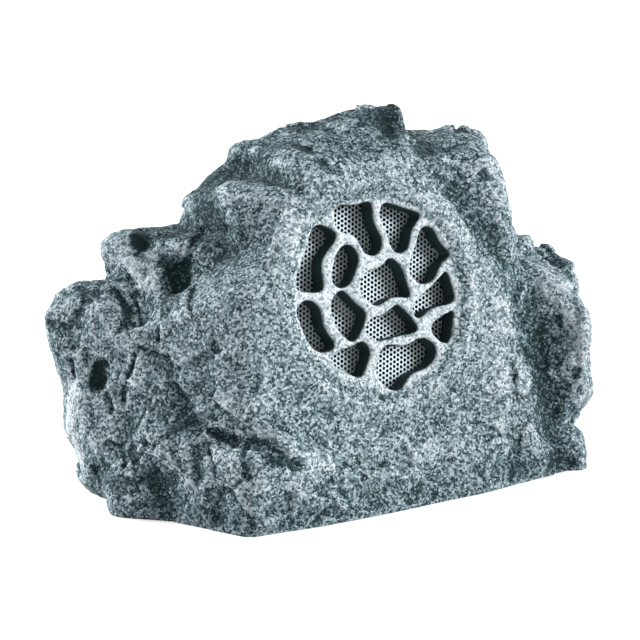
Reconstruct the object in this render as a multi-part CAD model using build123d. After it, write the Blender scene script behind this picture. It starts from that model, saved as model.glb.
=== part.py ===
from build123d import *
import math
import os

# Rock: overall size, moulded wall and the lean of the speaker face
rock_width = 404.0
rock_depth = 250.0
rock_height = 278.0
shell_wall = 6.0
face_lean = 15.0
edge_round = 14.0
edge_turn = 16.0

# Speaker vent in the face, its centre that far below the top
vent_x = 0.0
vent_drop = 122.0
vent_radius = 72.0
collar_slope = 8.0
collar_apron = 14.0
collar_rise = 3.2
web_depth = 18.0
boss_depth = 27.0
boss_rim = 19.0

# Perforated sheet and the ring that holds it
grille_seat = 4.0
grille_thickness = 1.0
grille_pitch = 12.4
grille_bar = 3.0
grille_ring_width = 3.2
grille_ring_depth = 3.0

# Driver frame and its screws
gasket_thickness = 2.0
flange_width = 18.0
flange_thickness = 3.0
basket_throat = 71.0
basket_wall = 2.5
basket_depth = 43.0
basket_window = 44.0
spider_seat_depth = 35.0
spider_seat_width = 3.5
neck_wall = 5.0

# Cone, its edge and its coil
cone_radius = 63.0
cone_lip = 4.0
cone_depth = 28.0
cone_paper = 1.0
cone_neck_wall = 1.3
roll_radius = 4.25
roll_runs = 6
edge_lip = 4.5
rubber = 0.8
spider_cloth = 0.8
spider_wave = 1.2
spider_waves = 6
coil_radius = 13.3
former_wall = 0.5
former_rise = 2.0
winding_wall = 0.6
winding_length = 12.0

# Magnet
magnet_gap = 0.5
magnet_radius = 45.0
magnet_bore = 22.0
magnet_thickness = 15.0
plate_thickness = 6.0
yoke_step = 3.0

# Coaxial tweeter
post_radius = 8.0
post_height = 28.5
spigot_radius = 4.0
tweeter_radius = 22.0
tweeter_depth = 14.0
tweeter_wall = 2.6
tweeter_floor = 3.0
tweeter_ledge = 4.0
dome_radius = 12.5
dome_rise = 5.0
dome_runs = 4
tweeter_plate_thickness = 2.5

# Driver terminals
tag_width = 20.0
tag_length = 12.0
tag_board_thickness = 1.6
tag_margin = 1.5
blade_spacing = 10.0
blade_width = 4.0
blade_height = 8.0
blade_thickness = 0.8

# Base panel and the crossover that stands on it
panel_recess = 3.0
panel_thickness = 5.0
base_boss_radius = 8.0
base_boss_height = 46.0
board_length = 110.0
board_width = 70.0
board_thickness = 1.6
board_margin = 6.0
board_y = 10.0
stand_radius = 4.0
stand_height = 8.0
capacitor_length = 32.0
capacitor_width = 14.0
capacitor_height = 22.0
resistor_length = 26.0
resistor_width = 9.5
resistor_height = 9.0
terminal_length = 20.0
terminal_width = 11.0
terminal_height = 13.0
terminal_hole = 1.8
inductor_radius = 19.0
inductor_core = 9.0
inductor_height = 18.0
bobbin_wall = 1.6
lead_radius = 2.0
lead_bend = 20.0

# Cable gland in its pocket
gland_height = 36.0
pocket_radius = 18.0
pocket_depth = 24.0
gland_thread_radius = 8.0
gland_bore = 4.6
cable_radius = 3.25
gland_hex = 20.0
gland_collar = 5.0
gland_neck = 10.0
gland_tail = 16.0
gland_cap_wall = 2.4
gland_cap_end = 2.8
locknut_hex = 22.0
locknut_thickness = 5.0
seal_wall = 2.9
seal_shoulder = 1.0
seal_length = 10.0

# Fasteners, clearances and rounded edges
screw_radius = 1.9
screw_length = 16.0
screw_head_radius = 4.2
screw_head_height = 2.6
board_screw_radius = 1.4
board_screw_length = 6.0
board_screw_head_radius = 2.8
board_screw_head_height = 1.8
fit = 0.2
screw_fit = 0.3
panel_fit = 0.8
glue_line = 0.3
case_round = 1.2

# Each lump of the rock is a block trimmed by flat facets. A block spans x, y and z in percent of the rock's
# width, depth and height, from the centre of its base. A facet is the direction that it faces, its upward
# tilt, and one point that it passes through, in the same percents.
face_facet = (270, face_lean, (0, -50, 0))
lumps = {
    "body": ((-44, 43), (-50, 50), (0, 91), [
        face_facet, (206, 14, (-34, -50, 0)), (238, 15, (-26, -45, 36)), (172, 52, (-19, 10, 70)),
        (147, 10, (-36, 30, 43)), (57, 70, (13, 16, 92)), (270, 72, (16, -23, 90)),
        (327, 18, (39, -9, 73)), (90, 22, (3, 50, 22)), (45, 20, (33, 46, 22))]),
    "left_shoulder": ((-50, -19), (-26, 50), (0, 58), [
        (206, 12, (-48, -5, 0)), (172, -12, (-48, 5, 17)), (151, -12, (-51, 25, 45)),
        (156, -29, (-44, 32, 5)), (57, 66, (-42, 30, 57)), (165, 45, (-47, 29, 53)),
        (250, 50, (-44, -2, 43)), (90, 22, (-34, 50, 14))]),
    "left_step": ((-36, -4), (-22, 50), (14, 70), [
        (147, 5, (-35, 36, 62)), (160, 45, (-34, 36, 66)), (57, 68, (-25, 36, 69)),
        (215, 24, (-35, 6, 54)), (90, 22, (-19, 50, 22))]),
    "upper_step": ((-23, 8), (-42, 48), (32, 86), [
        face_facet, (147, 8, (-21, 26, 74)), (150, 52, (-17, 26, 80)), (57, 68, (-10, 22, 85)),
        (212, 10, (-20, -26, 54)), (102, 18, (-10, 46, 36))]),
    "crest": ((-14, 27), (-42, 44), (50, 100), [
        face_facet, (147, 18, (-13, 18, 91)), (57, 64, (14, 14, 100)), (147, 76, (16, 16, 100)),
        (345, 14, (18, 10, 100)), (270, 62, (13, -21, 92)), (84, 20, (5, 38, 52))]),
    "right_step": ((13, 42), (-42, 38), (43, 92), [
        face_facet, (57, 68, (34, 0, 91)), (327, 18, (39, -9, 73)), (270, 70, (33, -23, 88)),
        (66, 26, (25, 36, 48))]),
    "right_buttress": ((27, 50), (-50, 42), (0, 60), [
        (57, 62, (47, -12, 58)), (327, 7, (50, -28, 45)), (327, -36, (49, -34, 17)), (206, 8, (37, -42, 25)),
        (300, 60, (48, -22, 55)), (270, 6, (40, -50, 0)), (60, 15, (45, 30, 29))]),
    "heel": ((30, 47), (-50, -26), (0, 9), [
        (327, 10, (47, -38, 2)), (327, 60, (45, -38, 9))]),
    "toe": ((-44, -14), (-50, 2), (0, 27), [
        (206, 6, (-34, -50, 0)), (225, 45, (-31, -42, 24)), (300, 45, (-22, -47, 22))]),
}
solid_lumps = ("heel", "toe")

# Hollows worn into the rock: round channels from one point to another, in the same percents, and their radius
hollows = {
    "right_groove": ((16, -41, 95), (34, -53, 53.5), 50),
    "buttress_groove": ((33.5, -45, 49), (37, -59, 5.5), 30),
    "toe_crease": ((-38.5, -27, 28), (-33, -41, 25), 10),
    "wedge_hollow": ((-31, 2, 64), (-31.5, -0.5, 59), 12),
    "step_pit": ((-34.5, 16.5, 69.5), (-33.5, 14, 69.5), 9),
    "shoulder_pit": ((-46, 7, 37.5), (-46.5, 6.5, 32.5), 8),
    "shoulder_crease": ((-40, 13.5, 57.5), (-39, 7.5, 53.5), 8),
    "crest_recess": ((12, -7, 100.5), (10, -15.5, 96.5), 9),
}

# Openings of the vent's branching web, each a closed curve through points in percent of the vent radius,
# seen square to the face
web_openings = {
    "top_left": [(-38, 80), (-33, 98), (-10, 97), (9, 97), (9, 80), (16, 55), (8, 42), (-6, 45), (-17, 64),
                 (-30, 70)],
    "top_right": [(18, 84), (24, 94), (45, 88), (68, 76), (55, 62), (46, 43), (34, 40), (25, 50), (22, 68)],
    "right_upper": [(72, 64), (82, 60), (89, 44), (99, 31), (86, 22), (76, 9), (60, 4), (46, 15), (48, 31),
                    (60, 52)],
    "right": [(93, 13), (96, -4), (96, -18), (78, -22), (60, -26), (47, -31), (42, -22), (55, -8), (78, 6)],
    "right_lower": [(94, -31), (90, -44), (79, -62), (69, -57), (62, -44), (72, -35)],
    "bottom_right": [(58, -56), (65, -68), (50, -84), (27, -90), (14, -102), (-11, -88), (-9, -66), (2, -54),
                     (26, -57)],
    "bottom_left": [(-22, -47), (-17, -56), (-24, -72), (-31, -81), (-52, -73), (-66, -58), (-54, -51),
                    (-36, -48)],
    "left_lower": [(-96, 1), (-80, 5), (-70, -6), (-68, -25), (-59, -46), (-78, -49), (-91, -35), (-98, -12)],
    "left_upper": [(-50, 79), (-39, 66), (-53, 52), (-62, 36), (-64, 14), (-82, 14), (-95, 19), (-89, 40),
                   (-74, 65)],
    "inner_upper": [(-35, 55), (-22, 55), (-15, 41), (-22, 27), (-30, 16), (-45, 14), (-51, 21), (-47, 38)],
    "centre": [(24, 36), (34, 28), (40, 8), (41, -7), (22, -5), (0, -11), (-16, 0), (-18, 16), (-6, 26),
               (12, 30)],
    "inner_lower": [(-52, 5), (-40, 10), (-28, -3), (-16, -17), (-24, -34), (-35, -44), (-48, -36),
                    (-57, -12)],
    "bottom_centre": [(26, -14), (34, -22), (45, -43), (22, -46), (-10, -46), (-19, -37), (-13, -25),
                      (8, -20)],
}

# Screws of the base, in percent of the width along the front wall and along the back wall
front_screw_shares = (-16, 30)
back_screw_shares = (-25, 22)

# The face's own frame: its z axis points out of the rock, and depths count inwards from the face
lean = math.radians(face_lean)
vent_height = rock_height - vent_drop
face = Location(Plane(
    origin=(vent_x, -rock_depth / 2 + vent_height * math.tan(lean), vent_height),
    x_dir=(1, 0, 0),
    z_dir=(0, -math.cos(lean), math.sin(lean)),
))
screw_angles = [45, 135, 225, 315]
window_angles = [0, 90, 180, 270]

# Seats of the grille and the driver, as radii and as depths behind the face
grille_bore = vent_radius + grille_seat
boss_radius = grille_bore + boss_rim
grille_back = web_depth + grille_thickness
flange_radius = basket_throat + flange_width
flange_front = boss_depth + gasket_thickness
flange_back = flange_front + flange_thickness
surround_radius = cone_radius + 2 * roll_radius + edge_lip
bolt_radius = (grille_bore + flange_radius) / 2
spider_seat = flange_front + spider_seat_depth
basket_back = flange_front + basket_depth
neck_radius = magnet_radius + neck_wall
spider_radius = neck_radius - basket_wall
top_plate_back = basket_back + plate_thickness
magnet_back = top_plate_back + magnet_thickness
yoke_back = magnet_back + plate_thickness
cone_neck = flange_front + cone_depth
pole_radius = coil_radius - former_wall - magnet_gap
gap_radius = coil_radius + winding_wall + magnet_gap
post_front = basket_back - post_height
tweeter_front = post_front - tweeter_depth

# Heights above the ground
panel_top = panel_recess + panel_thickness
board_bottom = panel_top + stand_height
board_top = board_bottom + board_thickness

# Gland: its axis runs backwards from the floor of its pocket
pocket_floor = rock_depth / 2 - pocket_depth
seal_radius = cable_radius + seal_wall
seal_start = gland_collar + seal_shoulder
cap_end = seal_start + seal_length + fit


def rock_point(share):
    x, y, z = share
    return Vector(x * rock_width / 100, y * rock_depth / 100, z * rock_height / 100)


def facing(azimuth, tilt):
    turn = math.radians(azimuth)
    rise = math.radians(tilt)
    return Vector(math.cos(turn) * math.cos(rise), math.sin(turn) * math.cos(rise), math.sin(rise))


def trimmed_lump(name, inset):
    x_span, y_span, z_span, facets = lumps[name]
    base_inset = 0 if z_span[0] == 0 else inset
    low = rock_point((x_span[0], y_span[0], z_span[0])) + Vector(inset, inset, base_inset)
    high = rock_point((x_span[1], y_span[1], z_span[1])) - Vector(inset, inset, inset)
    size = high - low
    block = Pos((low + high) / 2) * Box(size.X, size.Y, size.Z)
    for azimuth, tilt, share in facets:
        normal = facing(azimuth, tilt)
        cut = Plane(origin=rock_point(share) - normal * inset, z_dir=normal)
        block = split(block, cut, keep=Keep.BOTTOM)
    return worn_edges(block, edge_round - inset)


# Each edge that turns enough gets a flat where a rounding of the given radius would touch it
def worn_edges(block, radius):
    flats = []
    for edge in block.edges():
        sides = [side.normal_at() for side in block.faces() if edge in side.edges()]
        half_turn = sides[0].get_angle(sides[1]) / 2
        if edge.bounding_box().max.Z > 0.1 and half_turn > edge_turn / 2:
            depth = min(radius / math.cos(math.radians(half_turn)) - radius, radius / 2)
            normal = (sides[0] + sides[1]).normalized()
            flats.append(Plane(origin=edge @ 0.5 - normal * depth, z_dir=normal))
    for flat in flats:
        block = split(block, flat, keep=Keep.BOTTOM)
    return block


# Round-ended rod about the line between two points
def channel(start, end, radius):
    low = rock_point(start)
    high = rock_point(end)
    half = (high - low).length / 2
    cap = radius * math.sqrt(0.5)
    outline = [
        ThreePointArc((0, 0, -half - radius), (cap, 0, -half - cap), (radius, 0, -half)),
        Line((radius, 0, -half), (radius, 0, half)),
        ThreePointArc((radius, 0, half), (cap, 0, half + cap), (0, 0, half + radius)),
        Line((0, 0, half + radius), (0, 0, -half - radius)),
    ]
    middle = Location(Plane(origin=(low + high) / 2, z_dir=high - low))
    return middle * revolve(make_face(outline), Axis.Z)


def worn(block, inset):
    for start, end, radius in hollows.values():
        block = block - channel(start, end, radius + inset)
    return block


def rock():
    blocks = [trimmed_lump(name, 0) for name in lumps]
    return worn(blocks[0].fuse(*blocks[1:]), 0)


def rock_hollow(inset):
    blocks = [trimmed_lump(name, inset) for name in lumps if name not in solid_lumps]
    return worn(blocks[0].fuse(*blocks[1:]), inset)


def on_face(edges):
    return face * revolve(make_face(edges), Axis.Z)


def turned(points):
    return on_face(Polyline(*[(radius, 0, -depth) for radius, depth in points], close=True))


def ring(inner, outer, front, back):
    return turned([(inner, front), (outer, front), (outer, back), (inner, back)])


def rod(radius, front, back, x=0.0, y=0.0):
    return face * (Pos(x, y, -(front + back) / 2) * Cylinder(radius, back - front))


def bolt_rods(radius, front, back):
    rods = []
    for angle in screw_angles:
        turn = math.radians(angle)
        rods.append(rod(radius, front, back, bolt_radius * math.cos(turn), bolt_radius * math.sin(turn)))
    return rods


def upright(radius, bottom, top, x, y):
    return Pos(x, y, (bottom + top) / 2) * Cylinder(radius, top - bottom)


def gland_axis(part):
    return Pos(vent_x, pocket_floor, gland_height) * (Rot(-90, 0, 0) * part)


def gland_ring(inner, outer, start, end):
    sleeve = Cylinder(outer, end - start) - Cylinder(inner, end - start)
    return gland_axis(Pos(0, 0, (start + end) / 2) * sleeve)


def gland_nut(hex_width, bore, start, end):
    outline = RegularPolygon(hex_width / 2, 6, major_radius=False) - Circle(bore)
    return gland_axis(Pos(0, 0, start) * extrude(outline, end - start))


def base_screw_places():
    half_rise = base_boss_height / 2 * math.tan(lean)
    front_y = -rock_depth / 2 + shell_wall / math.cos(lean) + half_rise + base_boss_radius / 2
    back_y = rock_depth / 2 - shell_wall - base_boss_radius * 3 / 4
    front_row = [(share * rock_width / 100, front_y) for share in front_screw_shares]
    back_row = [(share * rock_width / 100, back_y) for share in back_screw_shares]
    return front_row + back_row


def board_corners():
    reach_x = board_length / 2 - board_margin
    reach_y = board_width / 2 - board_margin
    return [(vent_x + i * reach_x, board_y + j * reach_y) for i in (-1, 1) for j in (-1, 1)]


def on_board(length, width, height, x, y):
    case = Box(length, width, height, align=(Align.CENTER, Align.CENTER, Align.MIN))
    case = fillet(case.edges().filter_by(Axis.Z), case_round)
    return Pos(vent_x + x, board_y + y, board_top) * case


# Moulded rock with its web, the boss behind the web, the base bosses and the gland's pocket
def make_rock_shell():
    outer = rock()
    shell = outer - rock_hollow(shell_wall)
    cup_back = shell_wall + pocket_depth
    forms = [rod(boss_radius, 0, boss_depth)]
    boss_top = panel_top + base_boss_height
    forms += [upright(base_boss_radius, panel_top, boss_top, x, y) for x, y in base_screw_places()]
    cup = Cylinder(pocket_radius + shell_wall, cup_back)
    forms.append(gland_axis(Pos(0, 0, cup_back / 2 - shell_wall) * cup))
    for form in forms:
        shell = shell + (form & outer)
    shell = shell + make_collar()
    pilot = screw_radius + screw_fit / 2
    cuts = [rod(grille_bore, web_depth, boss_depth + shell_wall)]
    cuts += [web_opening(points) for points in web_openings.values()]
    cuts += bolt_rods(pilot, flange_back - screw_length - fit, boss_depth)
    screw_end = panel_recess + screw_length + fit
    cuts += [upright(pilot, panel_top, screw_end, x, y) for x, y in base_screw_places()]
    cuts.append(gland_axis(Pos(0, 0, pocket_depth / 2) * Cylinder(pocket_radius, pocket_depth)))
    cuts.append(gland_axis(Cylinder(gland_thread_radius + fit, 3 * shell_wall)))
    return shell - cuts


# Low swelling of the face around the vent
def make_collar():
    crown = grille_bore + collar_slope
    foot = crown + collar_apron
    return turned([
        (grille_bore, shell_wall), (grille_bore, 0), (crown, -collar_rise), (foot, 0), (foot, shell_wall)])


def web_opening(points):
    places = [(x * vent_radius / 100, y * vent_radius / 100) for x, y in points]
    outline = make_face(Spline(*places, periodic=True))
    return face * (Pos(0, 0, -web_depth - fit) * extrude(outline, web_depth + 2 * fit))


# Perforated sheet: a coarse honeycomb stands for its fine round holes
def make_grille():
    row_step = grille_pitch * math.sqrt(3) / 2
    rows = int(vent_radius / row_step) + 1
    reach = vent_radius - grille_pitch / 3
    places = []
    for row in range(-rows, rows + 1):
        for column in range(-rows, rows + 1):
            x = (column + (row % 2) / 2) * grille_pitch
            if math.hypot(x, row * row_step) < reach:
                places.append((x, row * row_step))
    hole = RegularPolygon((grille_pitch - grille_bar) / 2, 6, major_radius=False, rotation=30)
    sheet = Circle(grille_bore - fit) - [Pos(x, y) * hole for x, y in places]
    return face * (Pos(0, 0, -grille_back) * extrude(sheet, grille_thickness))


def make_grille_ring():
    outer = grille_bore - fit
    return ring(outer - grille_ring_width, outer, grille_back, grille_back + grille_ring_depth)


def make_driver_gasket():
    gasket = ring(surround_radius + fit, flange_radius, boss_depth, flange_front)
    return gasket - bolt_rods(screw_radius + screw_fit, boss_depth, flange_front)


# Pressed frame: flange, windowed cone, spider seat and the lug of the terminals
def make_basket():
    seat_radius = spider_radius - spider_seat_width
    back_bore = magnet_bore + neck_wall
    inner_throat = spider_seat - spider_seat_width
    back_front = basket_back - flange_thickness
    frame = turned([
        (basket_throat, flange_front), (flange_radius, flange_front), (flange_radius, flange_back),
        (basket_throat + basket_wall, flange_back), (neck_radius, spider_seat), (neck_radius, basket_back),
        (back_bore, basket_back), (back_bore, back_front), (seat_radius, back_front),
        (seat_radius, spider_seat), (spider_radius, spider_seat), (spider_radius, inner_throat),
        (basket_throat, flange_back)])
    window_front = flange_back + basket_wall
    window_back = inner_throat - basket_wall
    window = Box(flange_radius, basket_window, window_back - window_front)
    window = Pos(neck_radius + flange_radius / 2 - neck_wall, 0, -(window_front + window_back) / 2) * window
    lug_length = tag_length + 2 * tag_margin
    lug = Pos(0, -neck_radius - lug_length / 2, flange_thickness / 2 - basket_back)
    lug = lug * Box(tag_width, lug_length + 2 * basket_wall, flange_thickness)
    frame = frame + face * lug
    cuts = [face * (Rot(0, 0, angle) * window) for angle in window_angles]
    cuts += bolt_rods(screw_radius + screw_fit, flange_front, flange_back)
    return frame - cuts


# Half-roll rubber edge, glued to the front of the flange and of the cone
def make_surround():
    lip_front = flange_front - rubber
    inner = cone_radius - cone_lip
    front = [(inner, lip_front)] + edge_roll(roll_radius, math.asin(rubber / roll_radius))
    back = [(inner, flange_front)] + edge_roll(roll_radius - rubber, 0)
    front.append((surround_radius, lip_front))
    back.append((surround_radius, flange_front))
    return turned(front + back[::-1])


def edge_roll(radius, first):
    middle = cone_radius + roll_radius
    step = (math.pi - 2 * first) / roll_runs
    turns = [first + k * step for k in range(roll_runs + 1)]
    return [(middle - radius * math.cos(turn), flange_front - radius * math.sin(turn)) for turn in turns]


# Paper cone with a flat rim under the surround and a thicker neck on the coil former
def make_cone():
    inner = cone_radius - cone_lip
    rim_back = flange_front + cone_paper
    neck_back = cone_neck + cone_neck_wall
    neck_bore = coil_radius + glue_line
    return turned([
        (inner, flange_front), (neck_bore, cone_neck), (neck_bore, neck_back), (inner + cone_paper, rim_back),
        (cone_radius, rim_back), (cone_radius, flange_front)])


def make_voice_coil():
    gap_middle = (basket_back + top_plate_back) / 2
    winding_front = gap_middle - winding_length / 2
    winding_back = gap_middle + winding_length / 2
    inner = coil_radius - former_wall
    outer = coil_radius + winding_wall
    front = cone_neck - former_rise
    return turned([
        (inner, front), (coil_radius, front), (coil_radius, winding_front), (outer, winding_front),
        (outer, winding_back), (inner, winding_back)])


# Corrugated cloth spider between the coil former and its seat in the frame
def make_spider():
    outer = spider_radius - fit
    bore = coil_radius + glue_line
    first = bore + spider_seat_width
    last = outer - 2 * spider_seat_width
    step = (last - first) / spider_waves
    crest = [(first + k * step, spider_wave * (k % 2)) for k in range(spider_waves + 1)]
    crest = [(bore, 0)] + crest + [(outer, 0)]
    back = [(radius, spider_seat - rise) for radius, rise in crest]
    front = [(radius, spider_seat - spider_cloth - rise) for radius, rise in reversed(crest)]
    return turned(back + front)


def make_yoke():
    bore = spigot_radius + fit
    plate = magnet_radius - yoke_step
    return turned([
        (bore, basket_back), (pole_radius, basket_back), (pole_radius, magnet_back), (plate, magnet_back),
        (plate, yoke_back), (bore, yoke_back)])


def make_tweeter_post():
    return turned([
        (0, post_front), (post_radius, post_front), (post_radius, basket_back), (spigot_radius, basket_back),
        (spigot_radius, yoke_back), (0, yoke_back)])


def make_tweeter_housing():
    lip = tweeter_radius - tweeter_wall
    ledge = tweeter_front + tweeter_ledge
    floor = post_front - tweeter_floor
    return turned([
        (0, post_front), (tweeter_radius, post_front), (tweeter_radius, tweeter_front), (lip, tweeter_front),
        (lip, ledge), (lip - tweeter_wall, ledge), (lip - tweeter_wall, floor), (0, floor)])


def make_tweeter_plate():
    edge = tweeter_radius - tweeter_wall - fit
    back = tweeter_front + tweeter_ledge
    front = back - tweeter_plate_thickness
    sphere = (dome_radius ** 2 + dome_rise ** 2) / (2 * dome_rise)
    spread = math.asin(dome_radius / sphere)
    dome = []
    for k in range(dome_runs + 1):
        turn = spread * k / dome_runs
        dome.append((sphere * math.sin(turn), front - dome_rise + sphere * (1 - math.cos(turn))))
    return turned(dome + [(edge, front), (edge, back), (0, back)])


def make_tag_strip():
    middle = -neck_radius - tag_margin - tag_length / 2
    board = Box(tag_width, tag_length, tag_board_thickness)
    return face * (Pos(0, middle, -basket_back - tag_board_thickness / 2) * board)


def make_solder_tags():
    middle = -neck_radius - tag_margin - tag_length / 2
    blade = Box(blade_width, blade_thickness, blade_height)
    foot = -basket_back - tag_board_thickness - blade_height / 2
    return Compound([face * (Pos(side * blade_spacing / 2, middle, foot) * blade) for side in (-1, 1)])


def make_driver_screws():
    shanks = bolt_rods(screw_radius, flange_back - screw_length, flange_back)
    heads = bolt_rods(screw_head_radius, flange_back, flange_back + screw_head_height)
    return Compound([shank + head for shank, head in zip(shanks, heads)])


# Flat panel inside the rim, with the moulded posts of the crossover board
def make_base_panel():
    slab = Pos(0, 0, panel_recess + panel_thickness / 2) * Box(rock_width, rock_depth, panel_thickness)
    panel = rock_hollow(shell_wall + panel_fit) & slab
    for x, y in board_corners():
        panel = panel + upright(stand_radius, panel_top, board_bottom, x, y)
    hole_end = board_top - board_screw_length - fit
    cuts = [upright(board_screw_radius + fit, hole_end, board_bottom, x, y) for x, y in board_corners()]
    cuts += [upright(screw_radius + screw_fit, panel_recess, panel_top, x, y) for x, y in base_screw_places()]
    return panel - cuts


def make_base_screws():
    screws = []
    for x, y in base_screw_places():
        shank = upright(screw_radius, panel_recess, panel_recess + screw_length, x, y)
        head = upright(screw_head_radius, panel_recess - screw_head_height, panel_recess, x, y)
        screws.append(shank + head)
    return Compound(screws)


def make_crossover_board():
    board = Box(board_length, board_width, board_thickness)
    board = Pos(vent_x, board_y, board_bottom + board_thickness / 2) * board
    hole = board_screw_radius + fit
    return board - [upright(hole, board_bottom, board_top, x, y) for x, y in board_corners()]


def make_board_screws():
    screws = []
    for x, y in board_corners():
        shank = upright(board_screw_radius, board_top - board_screw_length, board_top, x, y)
        head = upright(board_screw_head_radius, board_top, board_top + board_screw_head_height, x, y)
        screws.append(shank + head)
    return Compound(screws)


def inductor_place():
    return Pos(vent_x - board_length / 2 + board_margin + inductor_radius + stand_radius, board_y, board_top)


def spool(points):
    outline = Polyline(*[(radius, 0, height) for radius, height in points], close=True)
    return inductor_place() * revolve(make_face(outline), Axis.Z)


def make_coil_bobbin():
    bore = inductor_core - 2 * bobbin_wall
    top = inductor_height
    return spool([
        (bore, 0), (inductor_radius, 0), (inductor_radius, bobbin_wall), (inductor_core, bobbin_wall),
        (inductor_core, top - bobbin_wall), (inductor_radius, top - bobbin_wall), (inductor_radius, top),
        (bore, top)])


def make_coil_winding():
    outer = inductor_radius - bobbin_wall
    return spool([
        (inductor_core, bobbin_wall), (outer, bobbin_wall), (outer, inductor_height - bobbin_wall),
        (inductor_core, inductor_height - bobbin_wall)])


def make_capacitor():
    return on_board(capacitor_length, capacitor_width, capacitor_height, board_length / 4, 0)


def make_resistor():
    return on_board(resistor_length, resistor_width, resistor_height, board_length / 4, -board_width / 4)


def make_terminal_block():
    block = on_board(terminal_length, terminal_width, terminal_height, board_length / 4, board_width / 4)
    x = vent_x + board_length / 4
    hole = Rot(90, 0, 0) * Cylinder(terminal_hole, 2 * terminal_width)
    y = board_y + board_width / 4
    sides = (-terminal_length / 4, terminal_length / 4)
    return block - [Pos(x + side, y, board_top + terminal_height / 2) * hole for side in sides]


# Lead from the driver's tags to the crossover board: out along the driver's axis, then straight down
def make_driver_lead():
    middle = -neck_radius - tag_margin - tag_length / 2
    start = (face * Pos(0, middle, -basket_back - tag_board_thickness - blade_height)).position
    outward = Vector(0, math.cos(lean), -math.sin(lean))
    corner = start + outward * (board_y - start.Y) / outward.Y
    path = FilletPolyline(start, corner, (vent_x, board_y, board_top), radius=lead_bend)
    section = Plane(origin=start, z_dir=outward) * Circle(lead_radius)
    return sweep(section, path)


def make_gland_body():
    neck_end = gland_collar + gland_neck
    pieces = [
        gland_ring(gland_bore, gland_thread_radius, -gland_tail, 0),
        gland_nut(gland_hex, gland_bore, 0, gland_collar),
        gland_ring(gland_bore, gland_thread_radius, gland_collar, seal_start),
        gland_ring(seal_radius, gland_thread_radius, seal_start, neck_end),
    ]
    return pieces[0].fuse(*pieces[1:]).clean()


def make_gland_cap():
    inner = gland_thread_radius + fit
    outer = inner + gland_cap_wall
    wall = gland_ring(inner, outer, gland_collar + fit, cap_end)
    end = gland_ring(gland_bore, outer, cap_end, cap_end + gland_cap_end)
    return wall.fuse(end).clean()


def make_gland_locknut():
    return gland_nut(locknut_hex, gland_thread_radius + fit, -shell_wall - locknut_thickness, -shell_wall)


nodes = {
    "rock_shell": make_rock_shell(),
    "perforated_grille": make_grille(),
    "grille_ring": make_grille_ring(),
    "driver_gasket": make_driver_gasket(),
    "basket": make_basket(),
    "surround": make_surround(),
    "cone": make_cone(),
    "voice_coil": make_voice_coil(),
    "spider": make_spider(),
    "top_plate": ring(gap_radius, magnet_radius, basket_back, top_plate_back),
    "magnet": ring(magnet_bore, magnet_radius, top_plate_back, magnet_back),
    "yoke": make_yoke(),
    "tweeter_post": make_tweeter_post(),
    "tweeter_housing": make_tweeter_housing(),
    "tweeter_plate": make_tweeter_plate(),
    "tag_strip": make_tag_strip(),
    "solder_tags": make_solder_tags(),
    "driver_screws": make_driver_screws(),
    "base_panel": make_base_panel(),
    "base_screws": make_base_screws(),
    "crossover_board": make_crossover_board(),
    "board_screws": make_board_screws(),
    "capacitor": make_capacitor(),
    "coil_bobbin": make_coil_bobbin(),
    "coil_winding": make_coil_winding(),
    "resistor": make_resistor(),
    "terminal_block": make_terminal_block(),
    "driver_lead": make_driver_lead(),
    "gland_body": make_gland_body(),
    "gland_seal": gland_ring(cable_radius, seal_radius, seal_start, seal_start + seal_length),
    "gland_cap": make_gland_cap(),
    "gland_locknut": make_gland_locknut(),
}

os.makedirs("parts", exist_ok=True)
for name, solid in nodes.items():
    export_step(solid, f"parts/{name}.step")
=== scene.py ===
import math

import bmesh
import bpy
import numpy as np
from mathutils import Matrix, Vector, kdtree, noise
from mathutils.bvhtree import BVHTree


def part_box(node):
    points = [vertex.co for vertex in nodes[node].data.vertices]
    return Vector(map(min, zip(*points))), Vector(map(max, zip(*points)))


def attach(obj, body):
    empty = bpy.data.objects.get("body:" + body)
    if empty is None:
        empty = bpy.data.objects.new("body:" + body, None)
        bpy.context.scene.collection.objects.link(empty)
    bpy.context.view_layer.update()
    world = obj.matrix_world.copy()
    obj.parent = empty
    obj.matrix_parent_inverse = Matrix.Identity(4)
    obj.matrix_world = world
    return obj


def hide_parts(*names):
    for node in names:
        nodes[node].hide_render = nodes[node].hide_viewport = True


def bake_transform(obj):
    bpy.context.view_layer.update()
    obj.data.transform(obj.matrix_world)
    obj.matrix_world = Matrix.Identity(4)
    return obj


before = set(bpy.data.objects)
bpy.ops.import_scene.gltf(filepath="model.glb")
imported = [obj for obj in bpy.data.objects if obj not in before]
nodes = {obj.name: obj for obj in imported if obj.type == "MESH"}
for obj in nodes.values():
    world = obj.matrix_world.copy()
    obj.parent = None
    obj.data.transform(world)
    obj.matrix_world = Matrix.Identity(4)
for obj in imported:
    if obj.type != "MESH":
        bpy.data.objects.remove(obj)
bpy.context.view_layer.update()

mm = 0.001
print("frame loaded,", len(nodes), "nodes")


# The photograph's view: 640 x 640 pixels, seen from the left of the speaker face
photoView = {
    "azimuth": -32,
    "elevation": 15,
    "distance": 2.2,
    "target": (0.001, 0, 0.1175),
    "frameWidth": 0.5005,  # metres across the picture at the target
    "pixels": 640,
    "sensor": 36,
    "farthest": 100,
}


def direction(azimuth, elevation):
    turn = math.radians(azimuth)
    rise = math.radians(elevation)
    return Vector((math.sin(turn) * math.cos(rise), -math.cos(turn) * math.cos(rise), math.sin(rise)))


# The picture's right, its up and the way back to the camera
def photoAxes():
    back = direction(photoView["azimuth"], photoView["elevation"])
    right = Vector((0, 0, 1)).cross(back).normalized()
    return right, back.cross(right), back


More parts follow.
